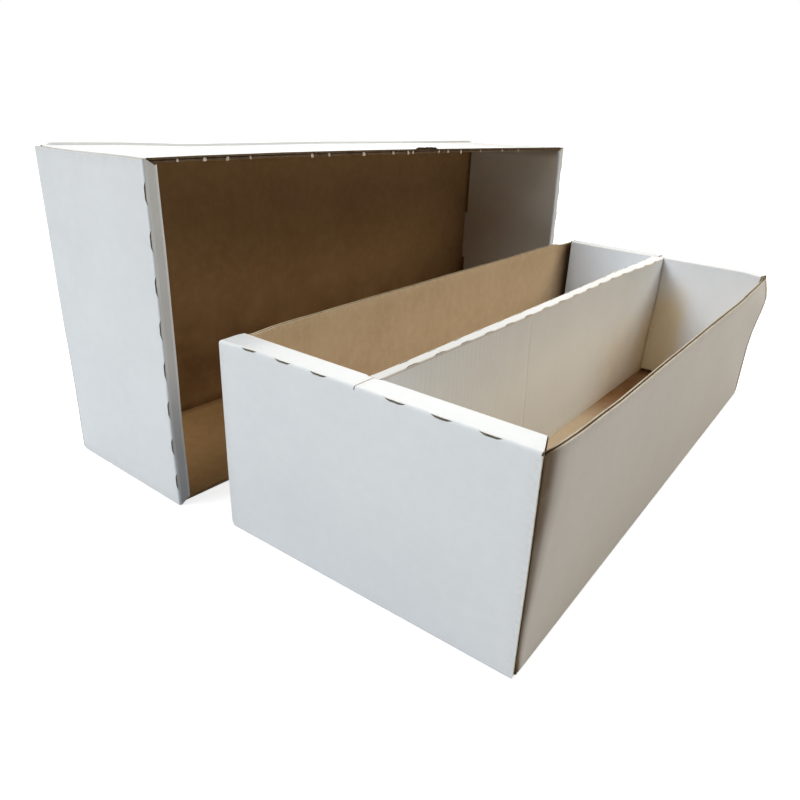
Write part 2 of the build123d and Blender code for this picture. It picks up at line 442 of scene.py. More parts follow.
def crease(sheet, corner, along, dir_a, dir_b, e0, e1, radius=FOLD, slits=(), mode=(1.15, 0.05), trim=None,
           layers=("outer", "inner"), step=4.0, seed=1):
    """The bent strip between two panels that meet at a crease.

    Panel A comes along dir_a to the corner line and panel B leaves it along dir_b. Where the crease is slit,
    the two edges stand apart: mode gives how far each of them ends from the corner.
    """
    c, t, a, b = (np.array(x, float) for x in (corner, along, dir_a, dir_b))
    es = spaced(e0, e1, step, [place + d * SLIT / 10.0 for place in slits for d in SLIT_STEPS])
    rows = np.concatenate([np.linspace(0, 0.47, 5), np.linspace(0.53, 1, 5)])

    def opening(e):
        """1 in a slit, falling to 0 at its ends."""
        if not slits:
            return np.zeros_like(e)
        d = np.min(np.abs(e[:, None] - np.array(slits)), axis=1) / (SLIT / 2)
        return smooth((1 - d) / 0.55)

    def bent(deep):
        """Places along the crease (e), around it (s, 0 on panel A to 1 on panel B) and at depth w."""
        rad = tangent(radius, deep)

        def where(e, s, w):
            ang = s * math.pi / 2
            p_arc = -rad + (rad - w) * unit(np.sin(ang)) ** 0.72
            q_arc = rad - (rad - w) * unit(np.cos(ang)) ** 0.72
            m = opening(e)
            fa, fb = unit(s / 0.47), unit((s - 0.53) / 0.47)
            jag = 0.1 * ripple(e, 1.6, seed)
            p_slit = np.where(s < 0.5, -rad + (rad - mode[0] + jag) * fa, -w)
            q_slit = np.where(s < 0.5, w, mode[1] + jag + (rad - mode[1] - jag) * fb)
            p = p_arc * (1 - m) + p_slit * m
            q = q_arc * (1 - m) + q_slit * m
            ee = e if trim is None else trim(e, s)
            return c + ee[:, None] * t + p[:, None] * a + q[:, None] * b
        return where

    def keep(e, s):
        """All of the strip but the middle of a slit."""
        m = opening(e.ravel()).reshape(e.shape)
        return ~((np.abs(s - 0.5) < 0.02) & (m > 0.02))

    uv_of = lambda e, s: np.stack([e, (s - 0.5) * 4.0], axis=1)
    wear = lambda e, s: 0.2 + 0.6 * opening(e) * (1 - np.abs(s - 0.5) * 2)
    if "outer" in layers:
        sheet.grid(es, rows, bent(LINER), 0.0, LINER, keep, (FACE, DARK, CUT), 0, wear, uv_of)
    if "inner" in layers:
        for low, high, mats in ((0.95, BOARD - LINER - 0.02, (DARK, CORE, CORE)),
                                (BOARD - LINER, BOARD, (CORE, BACK, CUT))):
            sheet.grid(es, rows, bent(BOARD), low, high, None, mats, 0, wear, uv_of)


# Materials

MATERIALS = {}


def srgb(r, g, b):
    """Linear colour of a screen colour given from 0 to 255."""
    out = []
    for v in (r, g, b):
        v = v / 255.0
        out.append(v / 12.92 if v <= 0.04045 else ((v + 0.055) / 1.055) ** 2.4)
    return (*out, 1.0)


def cleared(block):
    """The emptied node tree of a material or world."""
    block.use_nodes = True
    block.node_tree.nodes.clear()
    return block.node_tree


def node(tree, kind, inputs=(), **settings):
    """New shader node with the given settings. inputs has a value or a link for each socket that it names."""
    made = tree.nodes.new(kind)
    for key, value in settings.items():
        setattr(made, key, value)
    for key, value in dict(inputs).items():
        if isinstance(value, bpy.types.NodeSocket):
            tree.links.new(value, made.inputs[key])
        else:
            made.inputs[key].default_value = value
    return made


def mix_colour(tree, fac, a, b, blend="MIX"):
    """Colour a with colour b blended in by fac."""
    return node(tree, "ShaderNodeMix", {0: fac, 6: a, 7: b}, data_type="RGBA", blend_type=blend).outputs[2]


def number(tree, op, a, b=0.0, clamp=False):
    """Result of a sum on numbers or sockets."""
    return node(tree, "ShaderNodeMath", {0: a, 1: b}, operation=op, use_clamp=clamp).outputs[0]


def ranged(tree, value, lo, hi, to_lo=0.0, to_hi=1.0):
    """Value mapped from one range to another."""
    return node(tree, "ShaderNodeMapRange", {0: value, 1: lo, 2: hi, 3: to_lo, 4: to_hi}).outputs[0]


def cloud(tree, vector, scale, detail, rough, distort=0.0):
    """Cloudy value at vector."""
    inputs = {"Vector": vector, "Scale": scale, "Detail": detail, "Roughness": rough, "Distortion": distort}
    return node(tree, "ShaderNodeTexNoise", inputs).outputs["Fac"]


def stretched(tree, vector, x, y):
    """Vector with its first two axes scaled."""
    return node(tree, "ShaderNodeMapping", {"Vector": vector, "Scale": (x, y, 1.0)}).outputs["Vector"]


def paper(name, base, dark, light, worn, fibre, rough, mottle, bump, ribs=0.0, specks=0.0,
          shade=(0.22, 0.165, 0.115)):
    """Board paper: mottling, fibres along the machine direction, ribs over the flutes, wear at edges, painted
    shade.

    shade is the tint of its places of painted shade. Where the painted shade is negative, the paper is greyed
    instead, as painted grey shade.
    """
    mat = bpy.data.materials.new(name)
    tree = cleared(mat)
    places = node(tree, "ShaderNodeTexCoord").outputs
    obj, uv = places["Object"], places["UV"]

    def patches(scale, detail, soft, *limits):
        return ranged(tree, cloud(tree, obj, scale, detail, soft), *limits)

    def times(a, b, clamp=False):
        return number(tree, "MULTIPLY", a, b, clamp=clamp)

    # mottling and fibres
    colour = mix_colour(tree, patches(22, 3, 0.55, 0.32, 0.68, 0, mottle), base, dark)
    colour = mix_colour(tree, patches(160, 3, 0.6, 0.42, 0.75, 0, mottle * 0.8), colour, light)
    fine = cloud(tree, stretched(tree, uv, 900, 5200), 1.0, 4, 0.65)
    hair = cloud(tree, stretched(tree, uv, 420, 2600), 1.0, 2, 0.5, 0.6)
    colour = mix_colour(tree, ranged(tree, fine, 0.5, 0.78, 0, fibre), colour, dark)
    colour = mix_colour(tree, ranged(tree, hair, 0.56, 0.72, 0, fibre * 0.7), colour, light)
    if specks:
        vor = node(tree, "ShaderNodeTexVoronoi", {"Scale": 420, "Vector": obj})
        dots = times(ranged(tree, vor.outputs["Distance"], 0.10, 0.03), patches(700, 1, 0.5, 0.56, 0.62))
        colour = mix_colour(tree, times(dots, specks), colour, dark)

    # wear, and painted shade
    att = node(tree, "ShaderNodeAttribute", attribute_name="wear")
    if worn is not None:
        ragged = times(att.outputs["Fac"], patches(520, 3, 0.6, 0.35, 0.7), clamp=True)
        colour = mix_colour(tree, times(ragged, 0.85), colour, worn)
    shade_amount = node(tree, "ShaderNodeAttribute", attribute_name="painted_shade").outputs["Fac"]
    patchy = times(shade_amount, patches(45, 3, 0.5, 0.3, 0.7, 0.85, 1.1), clamp=True)
    colour = mix_colour(tree, patchy, colour, (*shade, 1.0), "MULTIPLY")
    colour = mix_colour(tree, times(shade_amount, -1.0, clamp=True), colour, (0.2, 0.2, 0.21, 1.0), "MULTIPLY")
    dullness = patches(240, 2, 0.5, 0.3, 0.7, rough - 0.05, rough + 0.07)

    # relief, in metres
    height = times(fine, 0.00006)
    for scale, detail, soft, depth in ((900, 3, 0.6, 0.00005), (70, 2, 0.5, 0.00016)):
        height = number(tree, "ADD", height, times(cloud(tree, obj, scale, detail, soft), depth))
    if ribs:
        across = node(tree, "ShaderNodeSeparateXYZ", {0: uv}).outputs[0]
        turn = times(across, 2 * math.pi / (FLUTE * MM))
        wave = number(tree, "SINE", number(tree, "ADD", turn, times(cloud(tree, obj, 60, 1, 0.5), 1.6)))
        wave = times(wave, patches(14, 2, 0.5, 0.35, 0.65, 0.25, 1.0))
        height = number(tree, "ADD", height, times(wave, ribs))
    relief = node(tree, "ShaderNodeBump", {"Strength": bump, "Distance": 1.0, "Height": height}).outputs[0]
    bsdf = node(tree, "ShaderNodeBsdfPrincipled", {
        "Base Color": colour, "Roughness": dullness, "Specular IOR Level": 0.12, "Normal": relief})
    node(tree, "ShaderNodeOutputMaterial", {0: bsdf.outputs[0]})
    MATERIALS[name] = mat


# Settings that papers have in common
LINED = dict(fibre=0.3, ribs=0.000008, rough=0.72, mottle=0.25, bump=0.5, specks=0.2)
SMOOTHER = dict(fibre=0.3, rough=0.74, mottle=0.3, bump=0.5, specks=0.25)
KRAFT = dict(fibre=0.45, ribs=0.000025, rough=0.86, mottle=0.4, bump=0.6, specks=0.5)
RAGGED = dict(fibre=0.8, rough=0.9, mottle=0.8, bump=0.8)
WAVED = dict(fibre=0.7, rough=0.92, mottle=0.7, bump=0.7)

# Papers: main, darker, lighter and worn colour, and settings
PAPERS = {
    "white_liner": ((226, 228, 231), (212, 215, 219), (238, 239, 241), (212, 210, 206), LINED),
    # white liner tinted warm, as painted warm light on the right wall
    "warm_light_liner": ((229, 223, 217), (215, 209, 203), (238, 233, 228), (208, 202, 194), LINED),
    # white liner tinted warm and dull, as painted shade on the lid's far inner panel
    "lid_inner_shade_liner": ((228, 224, 214), (214, 210, 200), (238, 234, 226), (208, 202, 194), LINED),
    "shaded_liner": ((228, 233, 240), (215, 221, 228), (238, 242, 246), (212, 212, 212),
                     dict(LINED, shade=(0.98, 0.8, 0.5))),
    "ridge_liner": ((231, 230, 230), (218, 216, 214), (242, 241, 240), (214, 210, 203), SMOOTHER),
    # white liner tinted blue against the warm light on the divider, as painted light
    "divider_light_tinted_liner": ((231, 240, 249), (217, 225, 233), (240, 246, 252), (214, 210, 203),
                      dict(SMOOTHER, ribs=0.00004, shade=(0.88, 0.7, 0.48))),
    # paler than the other kraft, as painted light on the floor; its shade tint colours the floor's painted
    # shade
    "floor_lit_kraft": ((226, 208, 182), (204, 184, 156), (236, 221, 199), (190, 160, 122),
                    dict(KRAFT, shade=(0.36, 0.16, 0.03))),
    "kraft_liner": ((198, 170, 136), (172, 143, 108), (214, 190, 158), (216, 194, 164), KRAFT),
    # darker than the tray's kraft, as painted shade inside the lid
    "lid_shaded_kraft": ((188, 151, 105), (160, 124, 82), (206, 173, 130), (160, 128, 88),
                  dict(KRAFT, ribs=0.00002)),
    "inner_kraft": ((182, 150, 112), (150, 118, 82), (202, 172, 134), (150, 120, 84),
                    dict(fibre=0.6, rough=0.9, mottle=0.6, bump=0.6, specks=0.4)),
    # darker cut edge of the right wall, as painted shade
    "shaded_wall_edge": ((182, 172, 158), (160, 146, 128), (200, 192, 180), None, RAGGED),
    # lighter cut edge of the left wall, as painted light
    "lit_left_edge": ((214, 196, 168), (190, 168, 138), (228, 214, 192), None, RAGGED),
    "cut_edge": ((222, 214, 198), (196, 178, 150), (234, 230, 220), None, RAGGED),
    # dark cut edge of the lid's boards, as painted shade
    "lid_shaded_edge": ((112, 92, 72), (84, 68, 52), (136, 116, 94), None, dict(WAVED, mottle=0.8, bump=0.8)),
    "torn_flake": ((214, 204, 192), (190, 176, 160), (230, 224, 214), None,
                   dict(fibre=0.5, rough=0.9, mottle=0.6, bump=0.6)),
    "medium": ((126, 111, 84), (98, 85, 62), (150, 134, 106), None, WAVED),
    # dark waved sheet of the lid's boards, as painted shade
    "lid_shaded_medium": ((98, 82, 66), (74, 60, 46), (118, 100, 82), None, WAVED),
    "crushed_core": ((142, 142, 141), (112, 111, 110), (166, 165, 163), None,
                     dict(WAVED, fibre=0.6, rough=0.95)),
}
for paper_name, (*tones, settings) in PAPERS.items():
    paper(paper_name, *(tone and srgb(*tone) for tone in tones), **settings)

# Papers of each board, in the order FACE, BACK, CORE, CUT, DARK
WHITE_BOARD = ("white_liner", "kraft_liner", "medium", "cut_edge", "crushed_core")
LID_BOARD = ("white_liner", "lid_shaded_kraft", "lid_shaded_medium", "lid_shaded_edge", "crushed_core")
LID_TOP_WALL = ("white_liner", "lid_shaded_kraft", "lid_shaded_medium", "lid_shaded_edge", "torn_flake")
LID_FOOT = ("white_liner", "lid_shaded_kraft", "lid_shaded_kraft", "lid_shaded_kraft", "crushed_core")
DIVIDER_BOARD = ("divider_light_tinted_liner", "inner_kraft", "medium", "cut_edge", "crushed_core")
RIDGE_BOARD = ("ridge_liner", "inner_kraft", "medium", "cut_edge", "crushed_core")
RIGHT_WALL = ("warm_light_liner", "kraft_liner", "medium", "shaded_wall_edge", "crushed_core")
LEFT_WALL = ("white_liner", "kraft_liner", "medium", "lit_left_edge", "crushed_core")
FLOOR_BOARD = ("white_liner", "floor_lit_kraft", "medium", "cut_edge", "crushed_core")
LID_INNER = ("lid_inner_shade_liner", "lid_shaded_kraft", "lid_shaded_medium", "lid_shaded_edge", "crushed_core")
INNER = ("shaded_liner", "kraft_liner", "medium", "cut_edge", "crushed_core")
# the front end's waved sheet and inner cut edges take the dark lid edge paper, as painted shade at its
# corners
TRAY_END = ("white_liner", "kraft_liner", "lid_shaded_edge", "cut_edge", "crushed_core")
# Boards whose cut edges are pale all through
ENDS = {WHITE_BOARD: ("white_liner", "kraft_liner", "cut_edge", "cut_edge", "crushed_core"),
        LID_BOARD: ("white_liner", "lid_shaded_kraft", "cut_edge", "cut_edge", "crushed_core")}


# A box with roll-over ends

def edge_wear(us, vs, width, sides):
    """Wear that fades over width from the named sides (u0, u1, v0, v1) of a panel."""
    def wear(u, v):
        away = {"u0": u - us[0], "u1": us[-1] - u, "v0": v - vs[0], "v1": vs[-1] - v}
        nearest = np.min([away[side] for side in sides], axis=0)
        return unit(1 - nearest / width) * 0.8
    return wear


def lid_shade(x, y, z):
    """Painted shade on the lid: its kraft inside darker towards the floor and along the crease above it, grey
    along the fold between the top panel and the upper wall and along that wall's far fold, and that wall
    darker towards the far end and along its torn stretch.
    """
    inside = (z > 1.0) & (np.abs(x) < LID["w"] / 2 - 1)
    edge = -LID["w"] / 2
    back = 0.1 * smooth((-y - 60) / 90) + 0.72 * smooth((x + 20) / 75) + 0.22 * smooth((x - 78) / 5)
    back = (z < 3) * back
    floor = (z >= 3) * (x > 80) * np.maximum(0.75 * unit(1 - (z - 2.2) / 5), 0.22 * smooth((y + 150) / 60))
    rear = -np.maximum(0.3 * (z < 1.5) * (x < edge + 1.5), 0.5 * (y > 192.6) * (x < edge + 1.2))
    top = (x < edge + 0.5) * (z > 1.7) * 0.3 * smooth((y - 50) / 130)
    top = np.maximum(top, 0.75 * (x < edge + 0.9) * (z > 93.4) * smooth((12.5 - np.abs(y - 4)) / 3))
    return inside * np.maximum(back, floor) + rear + top


def wall_end_painted_shade(x, y, z):
    """Painted shade on the tray's long walls: a band at the front end outside, a corner at the back left
    inside.
    """
    end = TRAY["l"] / 2 - BOARD - SEAT
    band = np.interp((end - np.abs(y)) / np.interp(z, BAND_AT, BAND_REACH), FADE_AT, FADE)
    band = band * np.where(y < 0, 1, 0.2)
    corner = np.maximum(0.85 * unit((y - end + 5) / 3), 0.8 * unit((y - 152) / 23) ** 1.3)
    return np.where(np.abs(x) > TRAY["w"] / 2 - 2, band, (x < 0) * corner)


def floor_painted_shade(x, y, z):
    """Painted brown shade on the tray's floor along the divider's foot, towards the back."""
    return (z > 1) * (x > -3.5) * np.interp(y, BROWN_AT, BROWN) * (1 - smooth((x - 13) / 12))


def nicks(sheet, x, z):
    """Small pale flakes torn loose along the cut edge of the lid's upper wall."""
    for k, y in enumerate(NICKS):
        half = 0.9 + 0.25 * lattice(k, 3, 0, 5) + (0.35 if k == 6 else 0)
        reach = 1.9 + 0.4 * lattice(k, 5, 0, 5) - (0.9 if k == 0 else 0)

        def where(u, v, w, y=y, half=half, reach=reach, k=k):
            narrow = half * (0.45 + 1.1 * v - 0.9 * v ** 3) * (1 + 0.15 * lattice(k, 7, 0, 5))
            lift = 0.12 + 0.5 * v * (1 - v) + 0.35 * v ** 2 * lattice(k, 9, 0, 5)
            along = y + u * narrow + 0.3 * v * lattice(k, 11, 0, 5)
            return np.stack([x + 1.0 + reach * v + 0 * u, along, z + lift + w], axis=1)
        sheet.grid(np.linspace(-1, 1, 5), np.linspace(0, 1, 6), where, 0.0, 0.16, None, (DARK, DARK, DARK))

    def torn(u, v, w):
        """A strip of the inner face, peeled back around the middle of the edge."""
        tall = 1.2 * smooth((12.5 - np.abs(u - 4)) / 4) * (0.9 + 0.15 * ripple(u, 2.2, 8))
        return np.stack([x + 0.5 - (0.5 + tall) * v, u, z - 0.1 + 0.5 * v + w], axis=1)
    sheet.grid(spaced(-8.5, 16.5, 0.8), np.linspace(0, 1, 4), torn, 0.0, 0.2, None, (CUT, CUT, CUT))


def done(sheet, body, *nodes):
    """Build a sheet, and say which body it moves with and which nodes it stands for."""
    obj = sheet.build()
    if body:
        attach(obj, body)
    if nodes:
        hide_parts(*nodes)
    return obj


def world_point(place, p):
    """Where a point in millimetres ends up, in metres."""
    return tuple(float(v) * MM for v in place(np.array([p], float))[0])


def cut_wobble(side_name, u):
    """How uneven the cut edge of a long wall is, at places along it. The lid's upper wall is worst."""
    if side_name == "upper":
        return 0.35 * ripple(u, 9, 21) + 0.2 * ripple(u, 2.5, 22)
    return 0.12 * ripple(u, 14, 23)


class Box:
    """The tray or the lid: an open box with double ends, made in its own frame with its opening upwards."""

    def __init__(self, name, dims, place, slot_gap):
        self.name, self.place, self.slot_gap = name, place, slot_gap
        self.is_lid = name == "lid"
        self.kinds = LID_BOARD if self.is_lid else WHITE_BOARD
        self.w, self.l, self.h, self.rim_depth, self.gap, self.shoulder = (
            dims[key] for key in ("w", "l", "h", "rim", "gap", "shoulder"))
        self.wall_top = self.h - BOARD - SEAT
        self.flap_face = self.l / 2 - BOARD - SEAT
        self.end_half = self.w / 2 - 0.25               # an end stops just short of the walls' outer faces
        self.inner_y = self.l / 2 - self.rim_depth

    def sheet(self, title, kinds, painted_shade=None, place=None):
        made = Sheet(title, place or self.place, f"{self.name}_board", kinds)
        made.painted_shade = painted_shade
        return made

    def drawn_in(self, x, z):
        """How far a lower corner of an end is rounded off, at height z."""
        left, right = (2.0, 4.2) if self.is_lid else (4.2, 2.4)
        r = np.where(x < 0, left, right)
        k = unit((r - z) / r)
        return -np.sign(x) * r * (1 - np.sqrt(1 - k ** 2)) * unit((np.abs(x) - self.w / 2 + 12) / 12)

    def bottom(self, node_name):
        """The bottom panel, with the bent strips along its four edges."""
        w, l, corner = self.w / 2, self.l / 2, 3.4
        s = self.sheet(node_name + "_board", LID_BOARD if self.is_lid else FLOOR_BOARD,
                       lid_shade if self.is_lid else floor_painted_shade)
        us, vs = spaced(-w, w, 8, [-3, 5, 10, 13, 16, 19, 22, 26]), spaced(-l, l, 8)
        clipped = lambda u, v: ~((np.abs(u) > w - corner) & (np.abs(v) > l - corner))
        board(s, flat((0, 0, 0), X, Y, UP), us, vs, "u", clipped, folds=("u0", "u1", "v0", "v1"))
        reach = self.flap_face - 0.8
        for side in (-1, 1):
            crease(s, (side * w, 0, 0), Y, DOWN, (-side, 0, 0), -reach, reach, step=8)
        tip = lambda e, t: e + self.drawn_in(e, FOLD * (1 - np.sin(t * math.pi / 2)))
        for end in (-1, 1):
            crease(s, (0, end * l, 0), X, DOWN, (0, -end, 0), -self.end_half, self.end_half, trim=tip)
        done(s, self.name, node_name)

    def wall(self, side_name, side):
        """A long wall, with the bent strips that lead into its flaps."""
        top, face = self.wall_top, self.flap_face
        kinds = {"lower": LID_FOOT, "upper": LID_TOP_WALL, "right": RIGHT_WALL, "left": LEFT_WALL}[side_name]
        node_name = f"{self.name}_{side_name}_wall"
        s = self.sheet(node_name + "_board", kinds, lid_shade if self.is_lid else wall_end_painted_shade)
        us = spaced(-face, face, 6, [*(1.5 * np.arange(2, 13) - face), face - 9, face - 6])
        vs = spaced(0, top, 6, [2.5, 3.0, 3.6])
        shift = lambda u, v, d: (0 * u, cut_wobble(side_name, u) * smooth((v - top + 8) / 8))
        board(s, flat((side * self.w / 2, 0, 0), Y, UP, (-side, 0, 0)), us, vs, "v", None, shift,
              folds=("u0", "u1", "v0"), wear=edge_wear(us, vs, 3, ("v1",)),
              liner=(0.9, 0.7) if self.is_lid else (0.75, 0.6),
              cuts=(CUT, BACK if side_name == "lower" else CUT))
        if side_name == "upper":
            nicks(s, -self.w / 2, top)
        for end in (-1, 1):
            corner = (side * self.w / 2, end * face, 0)
            crease(s, corner, UP, (0, end, 0), (-side, 0, 0), BOARD + SEAT, top)
        done(s, self.name, node_name)

    def flap(self, end_name, end, side_name, side):
        """A flap folded in from the end of a long wall, held in the double end."""
        node_name = f"{self.name}_{end_name}_{side_name}_flap"
        # painted shade: the back left flap is dark near the left wall, in the gap beside that wall's end
        shade = (lambda x, y, z: 0.85 * (x < -70)) if node_name == "tray_back_left_flap" else None
        s = self.sheet(node_name + "_board", self.kinds, shade)
        us, vs = spaced(self.gap / 2, self.w / 2, 6), spaced(BOARD + SEAT, self.wall_top, 6)
        board(s, flat((0, end * self.flap_face, 0), (side, 0, 0), UP, (0, -end, 0)), us, vs, "v",
              folds=("u1",), wear=edge_wear(us, vs, 3, ("u0", "v1", "v0")))
        done(s, self.name, node_name)

    def outer_end(self, end_name, end):
        """The outer layer of a double end."""
        w, reach = self.w / 2, self.end_half
        node_name = f"{self.name}_{end_name}_end"
        # painted shade on the lid's ends: grey along their top edge, most on the far end, and a little darker
        # towards the top
        painted_shade = lambda x, y, z: np.where(x < 0.3 - w, -0.35 - 0.65 * (y > 0), 0.11 * unit((40 - x) / 120))
        s = self.sheet(node_name + "_board", TRAY_END if end_name == "front" else ENDS[self.kinds],
                       painted_shade if self.is_lid else None)
        us = spaced(-reach, reach, 5, [0.8 - w, 12 - w, w - 12])
        vs = spaced(0, self.h, 6, [2.2, 2.8, 3.4, 4.2, 5.2])
        board(s, flat((0, end * self.l / 2, 0), X, UP, (0, -end, 0)), us, vs, "u", None,
              lambda u, v, d: (self.drawn_in(u, v), 0 * v), folds=("v0", "v1"),
              wear=edge_wear(us, vs, 2.5, ("u0", "u1")), liner=(1.2 if self.is_lid else 0.8, 0.5),
              cuts=(CUT, CORE))
        done(s, self.name, node_name)

    def moving_crease(self, title, bodies, middle, corner, dir_a, dir_b, lo, hi, **options):
        """A crease between two bodies: an outer and an inner strip, built where they stand at rest and
        attached to neither body.
        """
        for layer, r in (("outer", FOLD), ("inner", BOARD + 0.15)):
            s = self.sheet(f"{title}_{layer}", self.kinds)
            crease(s, corner, X, dir_a, dir_b, lo, hi, layers=(layer,), **options)
            start, end = (world_point(self.place, (middle, corner[1] + r * way[1], corner[2] + r * way[2]))
                          for way in (np.negative(dir_a), dir_b))
            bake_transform(done(s, None))

    def rim(self, label, end, outer, inner, panel):
        """A rim between its two creases. outer, inner and panel are the reach of its creases and panel."""
        (lo, hi), (inner_lo, inner_hi) = outer, inner
        # painted shade on the rims: the lid's near rim darker, the tray's front rim grey at its drooping left
        # end, its back rim grey on the left half
        if self.is_lid:
            painted_shade = lambda x, y, z: (y < 0) * (0.18 + 0.1 * smooth((x - 10) / 70))
        else:
            painted_shade = lambda x, y, z: -np.where(y < 0, 0.22 * smooth((-x - 52) / 22), 0.14 * (x < 0))

        def taper(u, v, d):
            """How far the rim's free corners are drawn in."""
            k = unit((v - FOLD) / (self.rim_depth - 2 * FOLD))
            t = (u - lo) / (hi - lo)
            return (k * ((inner_lo - lo) * (1 - t) + (inner_hi - hi) * t), 0 * v)
        s = self.sheet(label + "rim_board", ENDS[self.kinds], painted_shade)
        us, vs = spaced(lo, hi, 5, panel), spaced(0, self.rim_depth, 2.0)
        board(s, flat((0, end * self.l / 2, self.h), X, (0, -end, 0), DOWN), us, vs, "u", None, taper,
              folds=("v0", "v1"), wear=edge_wear(us, vs, 2, ("u0", "u1")))
        done(s, label + "rim", label + "rim")

    def inner_panel(self, label, end, half, reach):
        """The inner layer of an end, hanging from its rim, with a shoulder at each side of its foot."""
        (lo, hi), foot, shoulder = reach, BOARD + SWING, self.shoulder
        kinds, painted_shade = self.kinds, None
        if label.startswith("tray_back"):
            # painted brown shade where it meets the divider and low down
            kinds = INNER
            painted_shade = lambda x, y, z: (x > 0) * (z < 98) * 0.85 * smooth((38 - x) / 16) * smooth((90 - z) / 35)
        elif label == "lid_far_":
            # painted brown shade along its upper edge
            kinds = LID_INNER
            painted_shade = lambda x, y, z: 0.5 * smooth((-x - self.w / 2 + 7.5) / 3) * (z > 1)
        s = self.sheet(label + "inner_panel_board", kinds, painted_shade, self.place if self.is_lid else inner_place)
        us, vs = spaced(lo, hi, 6, [lo + shoulder, hi - shoulder]), spaced(foot, self.h, 6, [foot + LIFT])
        keep = lambda u, v: ~((v < foot + LIFT) & ((u < lo + shoulder) | (u > hi - shoulder)))
        clear = lambda u, v, d: (half * slot_clearance(label, v) * smooth((34 - np.abs(u)) / 24), 0 * v)
        board(s, flat((0, end * self.inner_y, 0), X, UP, (0, end, 0)), us, vs, "u", keep, clear,
              folds=("v1",), wear=edge_wear(us, vs, 2.5, ("u0", "u1", "v0")))
        done(s, label + "inner_panel", label + "inner_panel")

    def half_end(self, end_name, end, half_name, half):
        """Rim, inner panel and creases of one half of a double end, or of all of it where half is 0."""
        label = f"{self.name}_{end_name}_{half_name}_" if half else f"{self.name}_{end_name}_"
        short, rim_short, corner_short = SHORT.get(label, (0, 0, 0))
        stop, rim_stop = self.w / 2 - BOARD - SWING - short, self.w / 2 - SEAT - rim_short
        start = self.slot_gap / 2 + (0.1 if end > 0 else SWING) if half else -stop
        rim_start = SEAM / 2 + 0.1 if half else -rim_stop
        side = half or 1
        low, high = panel = sorted((side * start, side * stop))
        lo, hi = outer = sorted((side * rim_start, side * rim_stop))
        inner_lo = lo + (TAPER if half <= 0 else 0)
        inner_hi = hi - (TAPER if half >= 0 else 0) - corner_short
        fold_lo, fold_hi = max(inner_lo, low), min(inner_hi, high)
        middle, into = (lo + hi) / 2, (0, -end, 0)

        def spread(e, t):
            """The inner crease, as wide as the rim at one side and as the panel at the other."""
            k = (e - fold_lo) / (fold_hi - fold_lo)
            return e + t * ((low - fold_lo) * (1 - k) + (high - fold_hi) * k)
        self.moving_crease(label + "outer_crease", (self.name, label + "rim"), middle,
                           (0, end * self.l / 2, self.h), UP, into, lo, hi, slits=slit_places(lo, hi),
                           step=3, seed=31 + end)
        self.rim(label, end, outer, (inner_lo, inner_hi), panel)
        self.moving_crease(label + "inner_crease", (label + "rim", label + "inner_panel"), middle,
                           (0, end * self.inner_y, self.h), into, DOWN, fold_lo, fold_hi, trim=spread, step=5)
        self.inner_panel(label, end, half, panel)

    def build(self, bottom, sides, ends, halves):
        """Make every panel. The tables give the direction of each named wall, end and part of an end."""
        self.bottom(bottom)
        for side_name, side in sides.items():
            self.wall(side_name, side)
            for end_name, end in ends.items():
                self.flap(end_name, end, side_name, side)
        for end_name, end in ends.items():
            self.outer_end(end_name, end)
            for half_name, half in halves.items():
                self.half_end(end_name, end, half_name, half)


Box("tray", TRAY, tray_place, DIVIDER).build(
    "tray_bottom", {"left": -1, "right": 1}, {"front": -1, "back": 1}, {"left": -1, "right": 1})
Box("lid", LID, lid_place, 0).build(
    "lid_top", {"upper": -1, "lower": 1}, {"near": -1, "far": 1}, {"whole": 0})


# Divider

